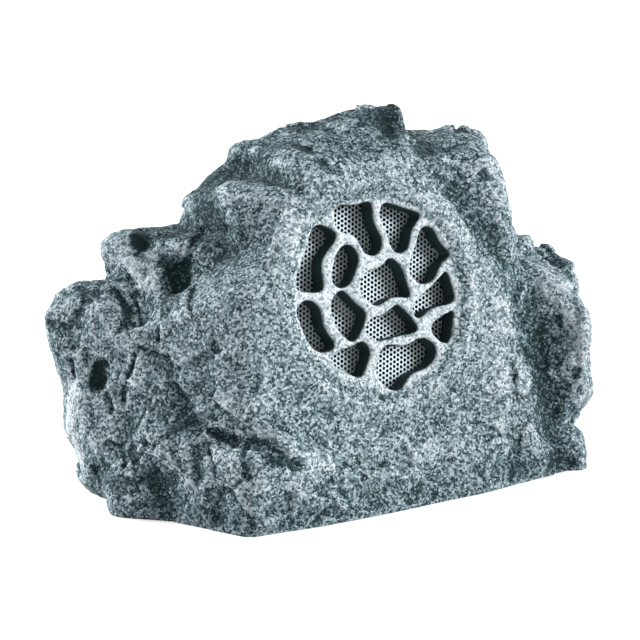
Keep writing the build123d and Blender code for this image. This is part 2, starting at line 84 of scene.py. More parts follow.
def makeCamera():
    back = photoAxes()[2]
    cameraData = bpy.data.cameras.new("photo_camera")
    cameraData.sensor_width = photoView["sensor"]
    cameraData.lens = photoView["sensor"] * photoView["distance"] / photoView["frameWidth"]
    cameraData.clip_end = photoView["farthest"]
    camera = bpy.data.objects.new("photo_camera", cameraData)
    camera.location = Vector(photoView["target"]) + back * photoView["distance"]
    camera.rotation_euler = back.to_track_quat("Z", "Y").to_euler()
    bpy.context.scene.collection.objects.link(camera)
    bpy.context.scene.camera = camera


def photoRay(pixel):
    right, up, back = photoAxes()
    step = photoView["frameWidth"] / photoView["pixels"]
    half = photoView["pixels"] / 2
    target = Vector(photoView["target"])
    eye = target + back * photoView["distance"]
    aim = target + right * (pixel[0] - half) * step + up * (half - pixel[1]) * step
    return eye, (aim - eye).normalized()


def photoPixels(coords):
    right, up, back = (np.array(axis) for axis in photoAxes())
    half = photoView["pixels"] / 2
    local = coords - np.array(photoView["target"])
    scale = photoView["pixels"] / photoView["frameWidth"] / (1 - local @ back / photoView["distance"])
    return np.stack([half + local @ right * scale, half - local @ up * scale], axis=1)


makeCamera()
print("camera set")


# Colours are written as sRGB hex and turned to linear here
def linear(hexColour):
    shares = [int(hexColour[i:i + 2], 16) / 255 for i in (1, 3, 5)]
    return [s / 12.92 if s <= 0.04045 else ((s + 0.055) / 1.055) ** 2.4 for s in shares] + [1.0]


# Adds a node: inputs are values or sockets to link, stops are a ramp's, the rest are the node's own settings
def addNode(tree, kind, inputs=None, stops=None, **settings):
    node = tree.nodes.new("ShaderNode" + kind)
    for name, value in settings.items():
        setattr(node, name, value)
    for name, value in (inputs or {}).items():
        if isinstance(value, bpy.types.NodeSocket):
            tree.links.new(value, node.inputs[name])
        else:
            node.inputs[name].default_value = value
    if stops:
        while len(node.color_ramp.elements) < len(stops):
            node.color_ramp.elements.new(1)
        for element, (place, colour) in zip(node.color_ramp.elements, stops):
            element.position = place
            element.color = linear(colour)
    return node


def newMaterial(name):
    material = bpy.data.materials.new(name)
    material.use_nodes = True
    material.node_tree.nodes.clear()
    return material, material.node_tree


def wear(obj, material):
    obj.data.materials.clear()
    obj.data.materials.append(material)


# Speaker face: its own frame, with depths counted inwards from the face
face = {
    "lean": 15,
    "bore": 76 * mm,
    "ventCentre": Vector((0, -83.2 * mm, 156 * mm)),
}
faceLean = math.radians(face["lean"])
faceOut = Vector((0, -math.cos(faceLean), math.sin(faceLean)))
faceUp = Vector((0, math.sin(faceLean), math.cos(faceLean)))


# Granite resin: glass-fibre moulding sprayed with a stone fleck, matt, cool grains from black-green to white
graniteFinish = {
    "grain": 1.65 * mm,
    "fineGrain": 0.9 * mm,
    "fineShare": 0.55,
    "mottle": 22 * mm,
    "mottleShift": 0.05,
    "paintedHighlightShift": 0.25,  # added to the grains where a highlight is painted
    "paintedShadeShift": -0.40,  # and where shade is painted
    "roughness": 0.85,
    "shine": 0.25,
    "relief": 0.35 * mm,
    "reliefShare": 0.4,
    "ventPaint": "#2e4344",  # flat black-green inside the vent
    "paintFrom": 1.2 * mm,
    "paintFull": 2.6 * mm,
    "paintWithin": 74 * mm,
    "ventPaintDepth": 40 * mm,
    "paintedShadeColour": "#213436",  # flat painted shade that fills the pits
    "paintedShadeFrom": 0.86,  # tone where the painted shade starts to cover the fleck
    "paintedShadeShare": 0.7,
    "fleck": [(0.17, "#15272a"), (0.32, "#425a5f"), (0.50, "#8fa4ad"), (0.66, "#cbd7de"), (0.80, "#ebf2f5")],
}


def graniteMaterial():
    finish = graniteFinish
    material, tree = newMaterial("granite_fleck_resin")
    coords = addNode(tree, "TexCoord").outputs["Object"]
    cells = addNode(tree, "TexVoronoi", {"Vector": coords, "Scale": 1 / finish["grain"]})
    fine = addNode(tree, "TexNoise", {"Vector": coords, "Scale": 1 / finish["fineGrain"], "Detail": 2})
    mottle = addNode(tree, "TexNoise", {"Vector": coords, "Scale": 1 / finish["mottle"], "Detail": 4})
    grain = addNode(tree, "SeparateColor", {"Color": cells.outputs["Color"]}).outputs["Red"]
    grains = addNode(tree, "Mix", {0: finish["fineShare"], 2: grain, 3: fine.outputs["Fac"]}).outputs[0]
    clouds = addNode(tree, "MapRange", {
        0: mottle.outputs["Fac"], 1: 0.3, 2: 0.7, 3: -finish["mottleShift"], 4: finish["mottleShift"]})
    mixed = addNode(tree, "Math", {0: grains, 1: clouds.outputs[0]}, operation="ADD")
    # the tone attribute carries painted shade and painted highlights, which shift the grains darker or
    # lighter
    tone = addNode(tree, "Attribute", attribute_name="tone").outputs["Fac"]
    shift = addNode(tree, "MapRange", {0: tone, 3: finish["paintedHighlightShift"], 4: finish["paintedShadeShift"]})
    toned = addNode(tree, "Math", {0: mixed.outputs[0], 1: shift.outputs[0]}, operation="ADD")
    fleck = addNode(tree, "ValToRGB", {"Fac": toned.outputs[0]}, finish["fleck"])
    # painted shade: past this tone a flat dark colour covers the fleck
    paintedShade = addNode(tree, "MapRange", {0: tone, 1: finish["paintedShadeFrom"], 4: finish["paintedShadeShare"]})
    shadedColour = addNode(tree, "Mix", {0: paintedShade.outputs[0], 6: fleck.outputs[0], 7: linear(finish["paintedShadeColour"])},
                     data_type="RGBA").outputs[2]
    # inside the vent, behind the rounded fronts of the ribs, the moulding is painted black
    local = addNode(tree, "VectorMath", {0: coords, 1: face["ventCentre"]}, operation="SUBTRACT")
    height = addNode(tree, "VectorMath", {0: local.outputs[0], 1: faceOut}, operation="DOT_PRODUCT")
    behind = addNode(tree, "MapRange", {
        0: height.outputs["Value"], 1: -finish["paintFrom"], 2: -finish["paintFull"]})
    across = addNode(tree, "VectorMath", {0: local.outputs[0], 1: faceOut}, operation="CROSS_PRODUCT")
    radius = addNode(tree, "VectorMath", {0: across.outputs[0]}, operation="LENGTH")
    within = addNode(tree, "MapRange", {
        0: radius.outputs["Value"], 1: face["bore"], 2: finish["paintWithin"]})
    vent = addNode(tree, "Math", {0: behind.outputs[0], 1: within.outputs[0]}, operation="MULTIPLY")
    shallow = addNode(tree, "Math", {0: height.outputs["Value"], 1: -finish["ventPaintDepth"]},
                      operation="GREATER_THAN")
    vent = addNode(tree, "Math", {0: vent.outputs[0], 1: shallow.outputs[0]}, operation="MULTIPLY")
    colour = addNode(tree, "Mix", {0: vent.outputs[0], 6: shadedColour, 7: linear(finish["ventPaint"])},
                     data_type="RGBA").outputs[2]
    bump = addNode(tree, "Bump", {
        "Strength": finish["reliefShare"], "Distance": finish["relief"], "Height": mixed.outputs[0]})
    shader = addNode(tree, "BsdfPrincipled", {
        "Base Color": colour, "Roughness": finish["roughness"], "Specular IOR Level": finish["shine"],
        "Normal": bump.outputs[0]})
    addNode(tree, "OutputMaterial", {"Surface": shader.outputs[0]})
    return material


# Rock shell: the CAD shell rebuilt on a fine grid, then worn, chipped and carved
rockShell = {
    "voxel": 1.5 * mm,
    "quickVoxel": 2.4 * mm,
    "triangles": 190000,
    "seed": 1,  # noise_vector starts from the clock unless it is seeded
    "edgeRounds": 14,  # smoothing passes that wear the moulding's edges round
    "rubRounds": 200,  # more of them where the rock is broad and round
    "ribRounds": 4,
    "rimFoot": 1 * mm,  # the rock stays as moulded up to here
    "rimHeight": 7 * mm,  # and has its full relief from here up
    "footStrip": 4 * mm,
    "footEdge": 2 * mm,
    "liftHeight": 12 * mm,  # pulls up or down have their full share above this
    "boreMargin": 2 * mm,
    "boreDepth": 10 * mm,  # the skin stops this far down the vent's bore
    "ventWithin": 75 * mm,
    "ventDepth": 20 * mm,
    "ventSlack": 1 * mm,
    "faceSlack": 3 * mm,
    "faceDepth": 60 * mm,
    "calmRadius": 92 * mm,  # round the vent the stone is calmer, up to here
    "roughRadius": 150 * mm,
    "calmLump": 0.35,
    "calmPebble": 0.5,
    "glandHole": 10 * mm,
    "glandReach": 15 * mm,  # from the gland's inner end out to the floor of its pocket
    "pocketFrom": 90 * mm,
    "pocketRadius": 20 * mm,
    "pocketWall": 21 * mm,
    "pocketDepth": 8 * mm,
    "pocketRough": 34 * mm,
    "chipSize": 30 * mm,
    "chipSlope": 0.10,
    "chipStep": 1.1 * mm,
    "lumpSize": 30 * mm,
    "lumpHeight": 2.0 * mm,
    "pebbleSize": 8 * mm,
    "pebbleHeight": 0.8 * mm,
    "collarHeight": 1.0 * mm,
    "collarInner": 70 * mm,
    "collarCrown": 84 * mm,
    "collarOuter": 116 * mm,
    # painted shade along the foot, darker towards the bottom
    "footShading": 0.40,
    "footShadingHeight": 42 * mm,
    # painted shade on upward-facing stone
    "topShading": 0.30,
    # painted highlight on the fronts of the vent's ribs
    "ribHighlight": 0.38,
    "strokeRagged": 1.2,  # mm that the pebbling shifts a stroke's edge, and its share of the stroke's width
    "strokeWidths": (0.4, 1.6),
    "pitRagged": 3,  # pixels that pebbling and lumps shift a pit's edge
    # painted shade in hollows and painted highlight on ridges
    "hollowRounds": 40,
    "hollowDepth": 5 * mm,
    "hollowTones": (-0.2, 0.3),
    "topSlopes": (0.5, 0.95),
    "ribInner": 70 * mm,
    "ribOuter": 78 * mm,
    "ribDepth": 5 * mm,
    "darkest": 0.84,  # tone of the darkest strokes; only the pits go on to the flat painted shade
    "wallFrom": 1.5 * mm,  # skin that moves in by more takes the inner wall with it
    "wallReach": 14 * mm,
    "wallFull": 0.6,  # share of that reach that moves all the way
}

# Places where the skin is pulled out or pressed in: photograph pixel on the rock, shift in mm, reach in mm
rockGrabs = {
    "strip": ((80, 436), (-7.5, 4.6, 0), 44),
    "stripFoot": ((94, 482), (-7, 2.5, 0), 36),
    "footCorner": ((128, 500), (-13, -3, 0), 40),
    "shoulderTop": ((80, 284), (0, 0, -7), 34),
    "stepCorner": ((114, 250), (-8, 5, 2.5), 30),
    "stepNotch": ((232, 172), (11, -6, -7), 38),
    "crestLine": ((326, 119), (0, 0, -5), 34),
    "crestPeak": ((354, 109), (0, 0, -6), 26),
    "crestEnd": ((389, 118), (4, -2.5, 8), 24),
    "upperRight": ((486, 172), (6, -3.8, 0), 30),
    "midRight": ((493, 192), (5, -3, 0), 28),
    "lowRight": ((504, 210), (3, -2, 0), 24),
    "ledge": ((524, 243), (2, -1, 6), 22),
    "ledgeEnd": ((548, 253), (0, 0, -12), 22),
    "buttressTop": ((565, 262), (3, -2, 2), 18),
    "buttressEdge": ((582, 330), (3, -2, 0), 36),
    "buttressNotch": ((579, 412), (-10, 6, 0), 24),
    "buttressHeel": ((586, 398), (-10, 6, 0), 22),
    "footFront": ((330, 519), (0, -6, 0), 64),
    "footMiddle": ((398, 505), (0, -7, 0), 64),
    "footRight": ((470, 490), (0, -6, 0), 64),
}

# Broad stretches rubbed round: photograph pixels along each, half width in mm, share of the rubbing
rockRubs = {
    "frontLeft": ([(266, 300), (258, 360), (250, 430), (248, 500)], 55, 1.0),
    "frontTop": ([(300, 158), (360, 152), (430, 150), (475, 160)], 26, 0.8),
    "flank": ([(140, 350), (150, 420), (140, 480)], 36, 0.8),
    "toe": ([(190, 430), (235, 450), (280, 470)], 30, 0.9),
    "rightGroove": ([(500, 255), (528, 300), (540, 370), (555, 440)], 30, 0.9),
    "foot": ([(150, 505), (250, 525), (400, 500), (540, 472)], 16, 0.6),
}

# Pits sunk along the line of sight: their outline in photograph pixels, edge softness in pixels, depth in mm,
# painted shade inside
rockPits = {
    "stepPit": ([(130, 233), (136, 228), (147, 229), (150, 237), (146, 247), (139, 250), (132, 245)],
                3, 4, 0.95),
    "wedgeHollow": ([(162, 262), (172, 257), (194, 262), (191, 280), (183, 299), (172, 304), (168, 317),
                     (164, 305), (161, 290)], 6, 1.5, 0.72),
    "shoulderPit": ([(95, 362), (107, 361), (106, 377), (104, 388), (89, 388), (91, 376)], 3, 3, 0.95),
    "shoulderCrease": ([(110, 286), (120, 290), (128, 303), (131, 312), (125, 327), (116, 335), (121, 318),
                        (119, 303)], 3.5, 3, 0.8),
    "crestCrack": ([(285, 141), (298, 142), (310, 148), (316, 154), (306, 153), (296, 147)], 2, 4, 0.95),
    "toeShadow": ([(164, 438), (172, 427), (181, 418), (194, 414), (209, 422), (208, 428), (196, 429),
                   (184, 435)], 7, 2, 0.62),
    "toeSlot": ([(192, 446), (206, 440), (207, 477), (198, 486), (193, 470)], 5, 3, 0.5),
    "crestRecess": ([(380, 115), (384, 112), (388, 125), (398, 134), (394, 142), (384, 140), (378, 128)],
                    6, 0.5, 0.72),
}

# Strokes worn into the skin: photograph pixels along it, half width and depth in mm, painted shade (positive)
# or painted highlight (negative)
rockStrokes = {
    "stepTop": ([(152, 236), (166, 234), (180, 232)], 11, 1.0, 0.5),
    "stepSpot": ([(159, 262), (167, 257)], 4, 2.0, 0.7),
    "stepFace": ([(196, 200), (206, 222), (226, 236)], 26, 0.0, 0.8),
    "stepCrack": ([(131, 294), (138, 306), (142, 325)], 2.2, 2.5, 0.8),
    "stepNick": ([(158, 326), (158, 341)], 2.2, 2.0, 0.7),
    "shoulderNotch": ([(80, 287), (84, 291)], 5, 2.5, 0.8),
    "shoulderHollow": ([(92, 292), (86, 300), (80, 310)], 10, 2.0, 0.5),
    "shoulderUndercut": ([(50, 326), (64, 328), (78, 322)], 8, 2.0, 0.62),
    "shoulderShade": ([(53, 340), (58, 352), (62, 362)], 6, 0.0, 0.5),
    "shoulderCrack": ([(71, 360), (72, 377)], 3, 2.0, 0.6),
    "flankCrack": ([(134, 356), (131, 368), (127, 377)], 2.5, 2.5, 0.75),
    "flankDentLeft": ([(106, 394), (109, 402), (111, 410)], 4, 2.5, 0.6),
    "flankDentRight": ([(123, 390), (122, 400)], 4, 2.5, 0.6),
    "flankCloud": ([(178, 402), (150, 420), (128, 440)], 24, 1.0, 0.34),
    "stepLine": ([(198, 230), (214, 232), (230, 231)], 5, 2.0, 0.5),
    "stepShade": ([(204, 192), (212, 210), (222, 228)], 20, 1.0, 0.75),
    "stepBand": ([(252, 168), (270, 174), (286, 178)], 14, 0.5, 0.36),
    "stepUpperShade": ([(200, 186), (232, 168), (262, 156)], 22, 0.0, 0.8),
    "toeCrack": ([(213, 432), (222, 436), (236, 442)], 5, 4.0, 0.75),
    "toeRidgeFoot": ([(236, 443), (259, 446), (280, 450)], 8, 3.0, 0.45),
    "toeDent": ([(268, 456), (282, 462), (296, 466)], 8, 3.5, 0.5),
    "toeShade": ([(140, 462), (152, 474), (164, 484)], 22, 2.5, 0.42),
    "footShade": ([(96, 464), (110, 478), (124, 488)], 14, 2.0, 0.38),
    "crestShade": ([(300, 130), (338, 122), (372, 116), (392, 118)], 26, 0.0, 1.0),
    "crestDark": ([(315, 121), (324, 127), (332, 133)], 8, 3.0, 0.45),
    "crestSpot": ([(324, 164), (336, 170)], 8, 2.0, 0.42),
    "crestPatch": ([(278, 134), (295, 135)], 7, 0.0, -0.6),
    "rightGroove": ([(425, 150), (442, 168), (462, 200), (482, 226), (490, 240), (506, 258), (510, 277),
                     (529, 297)], 18, 1.0, 0.26),
    "buttressGroove": ([(528, 305), (534, 340), (542, 375), (546, 405), (554, 432), (566, 462)],
                       20, 1.5, 0.5),
    "buttressCore": ([(541, 356), (545, 388), (551, 420)], 11, 2.0, 0.62),
    "buttressLight": ([(566, 290), (576, 330), (578, 360)], 12, 0.0, -0.4),
    "ledgeLight": ([(528, 256), (545, 270), (552, 290)], 16, 0.0, -0.4),
    "buttressCrack": ([(558, 317), (560, 326)], 4, 2.5, 0.6),
    "buttressSplit": ([(577, 370), (578, 393)], 4, 2.5, 0.6),
    "stepFoot": ([(541, 251), (546, 257)], 6, 3.0, 0.55),
    "heelLight": ([(574, 446), (582, 460)], 8, 0.0, -0.5),
    "frontLight": ([(490, 310), (500, 370)], 34, 0.0, -0.26),
    "lowerLight": ([(340, 440), (420, 455), (490, 440)], 40, 0.0, -0.08),
    "stepLight": ([(120, 262), (140, 272), (150, 284)], 12, 0.0, -0.4),
    "collarRight": ([(430, 196), (452, 220), (470, 248)], 14, 0.0, -0.15),
    "collarLeft": ([(293, 200), (292, 230), (294, 258)], 8, 0.0, -0.3),
    "sliver": ([(188, 205), (187, 236)], 7, 0.0, -0.4),
    "leftEdge": ([(70, 390), (68, 430), (80, 470), (92, 496)], 12, 0.0, -0.9),
}


def meshFrom(obj, name):
    graph = bpy.context.evaluated_depsgraph_get()
    mesh = bpy.data.meshes.new_from_object(obj.evaluated_get(graph))
    mesh.name = name
    return mesh


def applyModifiers(obj):
    mesh = meshFrom(obj, obj.name)
    obj.modifiers.clear()
    obj.data = mesh


def readCoords(mesh):
    coords = np.empty(len(mesh.vertices) * 3, np.float32)
    mesh.vertices.foreach_get("co", coords)
    return coords.reshape(-1, 3).astype(float)


def readNormals(mesh):
    normals = np.empty(len(mesh.vertices) * 3, np.float32)
    mesh.vertex_normals.foreach_get("vector", normals)
    return normals.reshape(-1, 3).astype(float)


def writeCoords(mesh, coords):
    mesh.vertices.foreach_set("co", coords.astype(np.float32).ravel())
    mesh.update()


def surfaceTree(mesh, coords):
    return BVHTree.FromPolygons(coords.tolist(), [p.vertices[:] for p in mesh.polygons])


def pointFinder(points):
    finder = kdtree.KDTree(len(points))
    for order, point in enumerate(points):
        finder.insert(point, order)
    finder.balance()
    return finder


def ease(low, high, values):
    share = np.clip((values - low) / (high - low), 0, 1)
    return share * share * (3 - 2 * share)


def faceHeight(coords):
    return (coords - np.array(face["ventCentre"])) @ np.array(faceOut)


def faceRadius(coords):
    local = coords - np.array(face["ventCentre"])
    return np.linalg.norm(local - np.outer(local @ np.array(faceOut), faceOut), axis=1)


def glandRadius(coords, gland):
    return np.hypot(coords[:, 0] - gland.x, coords[:, 2] - gland.z)


# How far a node's front and back lie behind the speaker face
def depthBehindFace(name):
    depths = -faceHeight(readCoords(nodes[name].data))
    return depths.min(), depths.max()


# Skin: what is reached over the surface from the crest, short of the rim, the vent's bore and the gland hole
def outerSkin(mesh, gland):
    coords = readCoords(mesh)
    stopped = coords[:, 2] < rockShell["voxel"] / 2
    inBore = faceRadius(coords) < face["bore"] + rockShell["boreMargin"]
    stopped |= inBore & (faceHeight(coords) < -rockShell["boreDepth"])
    stopped |= (glandRadius(coords, gland) < rockShell["glandHole"]) & (coords[:, 1] < gland.y)
    bm = bmesh.new()
    bm.from_mesh(mesh)
    bm.verts.ensure_lookup_table()
    reached = np.zeros(len(coords), bool)
    start = int(coords[:, 2].argmax())
    reached[start] = True
    waiting = [bm.verts[start]]
    while waiting:
        vert = waiting.pop()
        for edge in vert.link_edges:
            other = edge.other_vert(vert)
            if not reached[other.index] and not stopped[other.index]:
                reached[other.index] = True
                waiting.append(other)
    bm.free()
    return reached


def addGroup(obj, name, weights):
    group = obj.vertex_groups.new(name=name)
    for index in np.flatnonzero(weights > 0.004).tolist():
        group.add([index], float(weights[index]), "REPLACE")


def smoothGroup(obj, name, rounds):
    smooth = obj.modifiers.new(name, "SMOOTH")
    smooth.vertex_group = name
    smooth.factor = 0.5
    smooth.iterations = rounds


def relaxed(coords, edges, rounds):
    count = np.bincount(edges.ravel(), minlength=len(coords))[:, None]
    for turn in range(rounds):
        total = np.empty_like(coords)
        for axis in range(3):
            total[:, axis] = np.bincount(edges[:, 0], coords[edges[:, 1], axis], len(coords))
            total[:, axis] += np.bincount(edges[:, 1], coords[edges[:, 0], axis], len(coords))
        coords = (coords + total / count) / 2
    return coords


# Broken stone: tilted flakes of the chip size, worn lumps and small pebbling
def stoneHeight(place):
    size = rockShell["chipSize"]
    bent = place + noise.noise_vector(place / (1.6 * size)) * 0.35 * size
    centre = noise.voronoi(bent / size)[1][0]
    tilt = noise.cell_vector(centre * 37.7) * 2 - Vector((1, 1, 1))
    flake = (bent - centre * size).dot(tilt) * rockShell["chipSlope"]
    flake += noise.cell(centre * 53.3) * rockShell["chipStep"]
    lump = noise.fractal(place / rockShell["lumpSize"], 1.0, 2.1, 3) * rockShell["lumpHeight"]
    pebble = noise.fractal(place / rockShell["pebbleSize"], 0.9, 2.1, 3) * rockShell["pebbleHeight"]
    return flake, lump, pebble


def strokeLine(tree, pixels):
    hits = [tree.ray_cast(*photoRay(pixel))[0] for pixel in pixels]
    return np.array([hit for hit in hits if hit])


def lineDistance(points, line):
    nearest = np.full(len(points), 1e9)
    for start, end in zip(line, line[1:]):
        along = end - start
        share = np.clip((points - start) @ along / max(along @ along, 1e-12), 0, 1)
        nearest = np.minimum(nearest, np.linalg.norm(points - start - np.outer(share, along), axis=1))
    return nearest


# How far inside a closed outline each pixel lies, negative outside it
def insideOutline(pixels, outline):
    loop = np.array(outline + outline[:1], float)
    inside = np.zeros(len(pixels), bool)
    for (x0, y0), (x1, y1) in zip(loop, loop[1:]):
        crosses = (y0 > pixels[:, 1]) != (y1 > pixels[:, 1])
        slope = (x1 - x0) / (y1 - y0) if y1 != y0 else 0
        inside ^= crosses & (pixels[:, 0] < x0 + (pixels[:, 1] - y0) * slope)
    return np.where(inside, 1, -1) * lineDistance(pixels, loop)


def rubWeights(mesh, skin):
    coords = readCoords(mesh)
    tree = surfaceTree(mesh, coords)
    weights = np.zeros(len(coords))
    for pixels, halfWidth, share in rockRubs.values():
        near = lineDistance(coords, strokeLine(tree, pixels)) / (halfWidth * mm)
        weights = np.maximum(weights, share * ease(1.0, 0.35, near))
    return weights * skin


def grabSkin(mesh, skin):
    coords = readCoords(mesh)
    tree = surfaceTree(mesh, coords)
    edge = rockShell["footEdge"]
    finder = pointFinder(coords[skin & (coords[:, 2] < rockShell["footStrip"])])
    moved = skin.copy()
    for index in np.flatnonzero(~skin & (coords[:, 2] < edge)).tolist():
        moved[index] = finder.find(coords[index])[2] < edge  # the foot's outer edge goes with the skin
    free = coords[moved]
    for name, (pixel, shift, reach) in rockGrabs.items():
        hit = tree.ray_cast(*photoRay(pixel))[0]
        if hit is None:
            print("grab off the rock:", name)
            continue
        share = ease(1, 0, np.linalg.norm(free - np.array(hit), axis=1) / (reach * mm))
        level = np.ones(len(free))
        lift = ease(0, rockShell["liftHeight"], free[:, 2])
        free = free + np.outer(share, np.array(shift) * mm) * np.stack([level, level, lift], axis=1)
    coords[moved] = free
    writeCoords(mesh, coords)


def carveSkin(mesh, skin, gland):
    coords = readCoords(mesh)
    normals = readNormals(mesh)[skin]
    outer = coords[skin]
    tree = surfaceTree(mesh, coords)
    parts = np.array([stoneHeight(Vector(place)) for place in outer])
    radius = faceRadius(outer)
    rise = faceHeight(outer)
    rough = ease(rockShell["calmRadius"], rockShell["roughRadius"], radius)
    away = np.where(rise > -rockShell["faceDepth"], rough, 1.0)
    rim = ease(rockShell["rimFoot"], rockShell["rimHeight"], outer[:, 2])
    aside = ease(rockShell["pocketRadius"], rockShell["pocketRough"], glandRadius(outer, gland))
    pocket = np.where(outer[:, 1] > rockShell["pocketFrom"], aside, 1.0)
    calm = np.where((radius < face["bore"]) & (rise > -rockShell["ventDepth"]), 0.0, 1.0)
    height = parts[:, 0] * away
    for part, least in ((1, rockShell["calmLump"]), (2, rockShell["calmPebble"])):
        height += parts[:, part] * (least + (1 - least) * away)
    height *= calm
    collar = ease(rockShell["collarInner"], rockShell["collarCrown"], radius)
    collar *= 1 - ease(rockShell["collarCrown"], rockShell["collarOuter"], radius)
    height += np.where(rise > -rockShell["faceSlack"], collar * rockShell["collarHeight"], 0)
    ragged = parts[:, 2] / rockShell["pebbleHeight"]
    drift = rockShell["strokeRagged"] * ragged
    widths = np.clip(1 + drift, *rockShell["strokeWidths"])
    paintedShade = np.zeros(len(outer))
    light = np.zeros(len(outer))
    pitShade = np.zeros(len(outer))
    for name, (pixels, halfWidth, depth, dark) in rockStrokes.items():
        line = strokeLine(tree, pixels)
        if len(line) < 2:
            print("stroke off the rock:", name)
            continue
        near = (lineDistance(outer, line) + mm * drift) / (halfWidth * mm * widths)
        height -= depth * mm * ease(1.0, 0.15, near)
        # painted shade of a dark stroke, painted highlight of a light one
        paintedShade = np.maximum(paintedShade, dark * ease(1.05, 0.25, near))
        light = np.minimum(light, dark * ease(1.05, 0.25, near))
    moves = normals * (height * rim * pocket)[:, None]
    back = np.array(photoAxes()[2])
    seen = np.flatnonzero(normals @ back > 0.05)
    starts = outer[seen] + normals[seen] * mm
    seen = seen[[tree.ray_cast(Vector(start), Vector(back))[0] is None for start in starts]]
    jitter = np.stack([ragged[seen], parts[seen, 1] / rockShell["lumpHeight"]], axis=1)
    pixels = photoPixels(outer[seen]) + rockShell["pitRagged"] * jitter
    for outline, soft, depth, dark in rockPits.values():
        inside = ease(-soft, soft, insideOutline(pixels, outline))
        moves[seen] -= np.outer(depth * mm * inside, back)
        # painted shade inside the pit
        pitShade[seen] = np.maximum(pitShade[seen], dark * inside)
    carved = coords.copy()
    carved[skin] += moves
    carved[:, 2] = np.maximum(carved[:, 2], 0)
    writeCoords(mesh, carved)
    return paintedShade + light, pitShade


# The inner wall moves in with the worn skin, so the moulding keeps its thickness
def followInside(mesh, skin, before, normals):
    coords = readCoords(mesh)
    moves = coords - before
    deep = np.flatnonzero(skin & ((moves * normals).sum(1) < -rockShell["wallFrom"]))
    finder = pointFinder(before[deep])
    full = rockShell["wallFull"]
    for index in np.flatnonzero(~skin).tolist():
        place, order, distance = finder.find(before[index])
        if distance < rockShell["wallReach"]:
            fade = 1 - max(0.0, distance / rockShell["wallReach"] - full) / (1 - full)
            coords[index] += moves[deep[order]] * fade
    coords[:, 2] = np.maximum(coords[:, 2], 0)
    writeCoords(mesh, coords)


# Tone: 0.5 as sprayed, up to 1 where shade is painted (hollows, pits, dark strokes, tops, the foot), down to
# 0 where highlights are painted (ridges, rib fronts, light strokes)
def skinTone(mesh, skin, paintedShade, pitShade):
    coords = readCoords(mesh)
    edges = np.empty(len(mesh.edges) * 2, np.int32)
    mesh.edges.foreach_get("vertices", edges)
    # hollow: how far the skin lies below its smoothed self; it paints shade into hollows and highlights onto
    # ridges
    smoothed = relaxed(coords, edges.reshape(-1, 2), rockShell["hollowRounds"])
    hollow = ((smoothed - coords) * readNormals(mesh)).sum(1)[skin]
    tone = np.full(len(coords), 0.5)
    # painted shade along the foot, darker towards the bottom
    foot = 1 - ease(0, rockShell["footShadingHeight"], coords[skin, 2])
    # upward-facing skin gets painted shade
    top = ease(*rockShell["topSlopes"], readNormals(mesh)[skin, 2])
    # painted highlight on the rib fronts
    ribs = 1 - ease(rockShell["ribInner"], rockShell["ribOuter"], faceRadius(coords[skin]))
    ribs *= faceHeight(coords[skin]) > -rockShell["ribDepth"]
    # painted shade along the foot and on the tops, painted highlight on the rib fronts
    paintedLightAndShade = foot * rockShell["footShading"] + top * rockShell["topShading"] - ribs * rockShell["ribHighlight"]
    tone[skin] += np.clip(hollow / rockShell["hollowDepth"], *rockShell["hollowTones"]) + paintedShade / 2
    tone[skin] += paintedLightAndShade / 2
    tone = np.clip(tone, 0, rockShell["darkest"])
    # the pits' painted shade goes on past the darkest strokes
    tone[skin] += (1 - tone[skin]) * pitShade
    return tone


